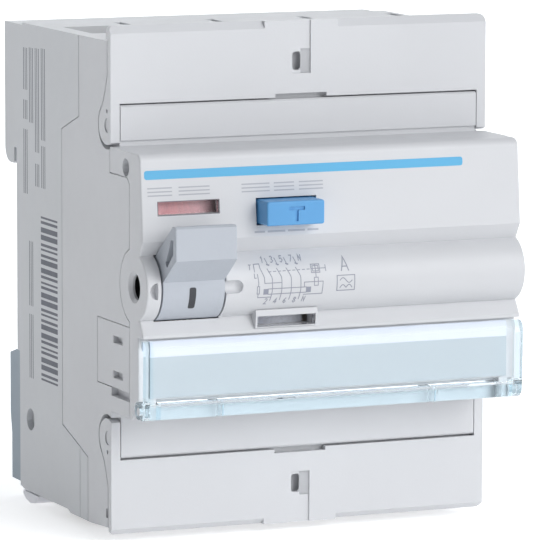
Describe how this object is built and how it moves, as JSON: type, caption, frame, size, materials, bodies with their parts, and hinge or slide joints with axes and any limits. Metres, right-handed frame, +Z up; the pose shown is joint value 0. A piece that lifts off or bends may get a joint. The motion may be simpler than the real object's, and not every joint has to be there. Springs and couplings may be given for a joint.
{
  "type": "residual current device",
  "caption": "Modular residual current switch for a mounting rail: hinged terminal covers, toggle, test button, fault window and a clear hinged label cover.",
  "frame": {"origin": "middle of the rail seat, in the plane that rests on the rail, at the height of the rail's centre", "axes": "+Z up along the terminals, +X to the right seen from the front, +Y backwards out of the rail seat; the front faces -Y"},
  "size_m": [0.07, 0.0729, 0.0882],
  "materials": {
    "housing_plastic": "fine satin",
    "base_plastic": "fine satin",
    "flap_plastic": "fine satin",
    "toggle_plastic": "satin grey",
    "clip_plastic": "satin grey",
    "tab_plastic": "satin",
    "button_plastic": "semi-gloss blue",
    "inner_plastic": "matt dark",
    "flag_red": "matt red",
    "flag_plain": "matt",
    "clear_plastic": "clear",
    "card": "matt",
    "copper": "bare copper",
    "silver": "silver contact",
    "steel": "zinc plated",
    "spring_steel": "wire",
    "wire_insulation": "insulated",
    "enamelled_wire": "enamelled",
    "core_case": "moulded",
    "board": "solder mask",
    "components": "moulded",
    "resistor_body": "lacquer"
  },
  "bodies": {
    "housing": {"rear_base": "base_plastic", "middle_case": "housing_plastic", "nose_fascia": "housing_plastic", "side_knockout_cover": "housing_plastic", "label_card": "card", "case_screws": "steel", "toggle_axle": "steel", "toggle_spring": "spring_steel", "clip_spring": "spring_steel", "fixed_contact_tips": "silver", "upper_terminal_bars": "copper", "lower_terminal_bars": "copper", "primary_conductors": "wire_insulation", "flexible_braids": "copper", "toroid_core": "core_case", "sense_winding": "enamelled_wire", "relay_yoke": "steel", "relay_coil": "enamelled_wire", "relay_spring": "spring_steel", "test_spring": "spring_steel", "test_contact_strip": "copper", "test_resistor": "resistor_body", "circuit_board": "board", "board_components": "components", "trip_lens": "clear_plastic", "status_lens": "clear_plastic"},
    "toggle": {"toggle": "toggle_plastic"},
    "drive_link": {"drive_link": "steel"},
    "contact_shaft": {"contact_shaft": "inner_plastic", "moving_contacts": "copper", "moving_contact_tips": "silver", "contact_springs": "spring_steel"},
    "status_flag": {"status_flag": "flag_red"},
    "upper_flap": {"upper_terminal_flap": "flap_plastic"},
    "lower_flap": {"lower_terminal_flap": "flap_plastic"},
    "label_cover": {"label_cover": "clear_plastic"},
    "test_button": {"test_button": "button_plastic"},
    "rail_clip": {"rail_clip": "clip_plastic", "clip_pull_tabs": "tab_plastic"},
    "relay_armature": {"relay_armature": "steel"},
    "trip_lever": {"trip_lever": "inner_plastic"},
    "trip_flag": {"trip_flag": "flag_plain"},
    "terminal_screw_upper_1": {"terminal_screw_upper_1": "steel"},
    "terminal_cage_upper_1": {"terminal_cage_upper_1": "steel"},
    "terminal_screw_upper_2": {"terminal_screw_upper_2": "steel"},
    "terminal_cage_upper_2": {"terminal_cage_upper_2": "steel"},
    "terminal_screw_upper_3": {"terminal_screw_upper_3": "steel"},
    "terminal_cage_upper_3": {"terminal_cage_upper_3": "steel"},
    "terminal_screw_upper_4": {"terminal_screw_upper_4": "steel"},
    "terminal_cage_upper_4": {"terminal_cage_upper_4": "steel"},
    "terminal_screw_lower_1": {"terminal_screw_lower_1": "steel"},
    "terminal_cage_lower_1": {"terminal_cage_lower_1": "steel"},
    "terminal_screw_lower_2": {"terminal_screw_lower_2": "steel"},
    "terminal_cage_lower_2": {"terminal_cage_lower_2": "steel"},
    "terminal_screw_lower_3": {"terminal_screw_lower_3": "steel"},
    "terminal_cage_lower_3": {"terminal_cage_lower_3": "steel"},
    "terminal_screw_lower_4": {"terminal_screw_lower_4": "steel"},
    "terminal_cage_lower_4": {"terminal_cage_lower_4": "steel"}
  },
  "joints": [
    {"name": "toggle_tilt", "type": "hinge", "parent": "housing", "child": "toggle", "pos_m": [0, -0.05595, 0], "axis": [1, 0, 0], "range_deg": [0, 80]},
    {"name": "link_swing", "type": "hinge", "parent": "toggle", "child": "drive_link", "pos_m": [0, -0.05304, -0.00244], "axis": [1, 0, 0], "range_deg": [-80, 0]},
    {"name": "shaft_turn", "type": "hinge", "parent": "housing", "child": "contact_shaft", "pos_m": [0, -0.0354, 0.01], "axis": [1, 0, 0], "range_deg": [-16, 0], "deforming": ["flexible_braids"]},
    {"name": "status_flag_slide", "type": "slide", "parent": "housing", "child": "status_flag", "axis": [0, 0, -1], "range_m": [0, 0.0032]},
    {"name": "upper_flap_hinge", "type": "hinge", "parent": "housing", "child": "upper_flap", "pos_m": [0, -0.04365, 0.026], "axis": [1, 0, 0], "range_deg": [0, 85]},
    {"name": "lower_flap_hinge", "type": "hinge", "parent": "housing", "child": "lower_flap", "pos_m": [0, -0.04365, -0.0274], "axis": [-1, 0, 0], "range_deg": [0, 85]},
    {"name": "label_cover_hinge", "type": "hinge", "parent": "housing", "child": "label_cover", "pos_m": [0, -0.0575, -0.0208], "axis": [1, 0, 0], "range_deg": [0, 90]},
    {"name": "test_button_press", "type": "slide", "parent": "housing", "child": "test_button", "axis": [0, 1, 0], "range_m": [0, 0.003], "stiffness_N_per_m": 600, "springref_m": -0.001, "deforming": ["test_spring"]},
    {"name": "clip_slide", "type": "slide", "parent": "housing", "child": "rail_clip", "axis": [0, 0, -1], "range_m": [0, 0.0035], "stiffness_N_per_m": 900, "springref_m": -0.003, "deforming": ["clip_spring"]},
    {"name": "relay_armature_tilt", "type": "hinge", "parent": "housing", "child": "relay_armature", "pos_m": [0, -0.043, -0.0054], "axis": [-1, 0, 0], "range_deg": [0, 6]},
    {"name": "trip_lever_turn", "type": "hinge", "parent": "housing", "child": "trip_lever", "pos_m": [0, -0.0466, 0.0004], "axis": [-1, 0, 0], "range_deg": [0, 8]},
    {"name": "trip_flag_slide", "type": "slide", "parent": "housing", "child": "trip_flag", "axis": [0, 0, -1], "range_m": [0, 0.0024]},
    {"name": "terminal_screw_upper_1_turn", "type": "hinge", "parent": "housing", "child": "terminal_screw_upper_1", "pos_m": [-0.02625, -0.0374, 0.0331], "axis": [0, 1, 0], "range_deg": [0, 2160]},
    {"name": "terminal_cage_upper_1_slide", "type": "slide", "parent": "housing", "child": "terminal_cage_upper_1", "axis": [0, -1, 0], "range_m": [0, 0.006]},
    {"name": "terminal_screw_upper_2_turn", "type": "hinge", "parent": "housing", "child": "terminal_screw_upper_2", "pos_m": [-0.00875, -0.0374, 0.0331], "axis": [0, 1, 0], "range_deg": [0, 2160]},
    {"name": "terminal_cage_upper_2_slide", "type": "slide", "parent": "housing", "child": "terminal_cage_upper_2", "axis": [0, -1, 0], "range_m": [0, 0.006]},
    {"name": "terminal_screw_upper_3_turn", "type": "hinge", "parent": "housing", "child": "terminal_screw_upper_3", "pos_m": [0.00875, -0.0374, 0.0331], "axis": [0, 1, 0], "range_deg": [0, 2160]},
    {"name": "terminal_cage_upper_3_slide", "type": "slide", "parent": "housing", "child": "terminal_cage_upper_3", "axis": [0, -1, 0], "range_m": [0, 0.006]},
    {"name": "terminal_screw_upper_4_turn", "type": "hinge", "parent": "housing", "child": "terminal_screw_upper_4", "pos_m": [0.02625, -0.0374, 0.0331], "axis": [0, 1, 0], "range_deg": [0, 2160]},
    {"name": "terminal_cage_upper_4_slide", "type": "slide", "parent": "housing", "child": "terminal_cage_upper_4", "axis": [0, -1, 0], "range_m": [0, 0.006]},
    {"name": "terminal_screw_lower_1_turn", "type": "hinge", "parent": "housing", "child": "terminal_screw_lower_1", "pos_m": [-0.02625, -0.0374, -0.0355], "axis": [0, 1, 0], "range_deg": [0, 2160]},
    {"name": "terminal_cage_lower_1_slide", "type": "slide", "parent": "housing", "child": "terminal_cage_lower_1", "axis": [0, -1, 0], "range_m": [0, 0.006]},
    {"name": "terminal_screw_lower_2_turn", "type": "hinge", "parent": "housing", "child": "terminal_screw_lower_2", "pos_m": [-0.00875, -0.0374, -0.0355], "axis": [0, 1, 0], "range_deg": [0, 2160]},
    {"name": "terminal_cage_lower_2_slide", "type": "slide", "parent": "housing", "child": "terminal_cage_lower_2", "axis": [0, -1, 0], "range_m": [0, 0.006]},
    {"name": "terminal_screw_lower_3_turn", "type": "hinge", "parent": "housing", "child": "terminal_screw_lower_3", "pos_m": [0.00875, -0.0374, -0.0355], "axis": [0, 1, 0], "range_deg": [0, 2160]},
    {"name": "terminal_cage_lower_3_slide", "type": "slide", "parent": "housing", "child": "terminal_cage_lower_3", "axis": [0, -1, 0], "range_m": [0, 0.006]},
    {"name": "terminal_screw_lower_4_turn", "type": "hinge", "parent": "housing", "child": "terminal_screw_lower_4", "pos_m": [0.02625, -0.0374, -0.0355], "axis": [0, 1, 0], "range_deg": [0, 2160]},
    {"name": "terminal_cage_lower_4_slide", "type": "slide", "parent": "housing", "child": "terminal_cage_lower_4", "axis": [0, -1, 0], "range_m": [0, 0.006]}
  ],
  "couplings": [
    {"joint": "link_swing", "follows": "toggle_tilt", "ratio": -1},
    {"joint": "shaft_turn", "follows": "toggle_tilt", "ratio": -0.2},
    {"joint": "status_flag_slide", "follows": "toggle_tilt", "m_per_rad": 0.00229},
    {"joint": "trip_lever_turn", "follows": "relay_armature_tilt", "ratio": 1.333},
    {"joint": "trip_flag_slide", "follows": "relay_armature_tilt", "m_per_rad": 0.0229},
    {"joint": "terminal_screw_upper_1_turn", "follows": "terminal_cage_upper_1_slide", "rad_per_m": 6283},
    {"joint": "terminal_screw_upper_2_turn", "follows": "terminal_cage_upper_2_slide", "rad_per_m": 6283},
    {"joint": "terminal_screw_upper_3_turn", "follows": "terminal_cage_upper_3_slide", "rad_per_m": 6283},
    {"joint": "terminal_screw_upper_4_turn", "follows": "terminal_cage_upper_4_slide", "rad_per_m": 6283},
    {"joint": "terminal_screw_lower_1_turn", "follows": "terminal_cage_lower_1_slide", "rad_per_m": 6283},
    {"joint": "terminal_screw_lower_2_turn", "follows": "terminal_cage_lower_2_slide", "rad_per_m": 6283},
    {"joint": "terminal_screw_lower_3_turn", "follows": "terminal_cage_lower_3_slide", "rad_per_m": 6283},
    {"joint": "terminal_screw_lower_4_turn", "follows": "terminal_cage_lower_4_slide", "rad_per_m": 6283}
  ]
}
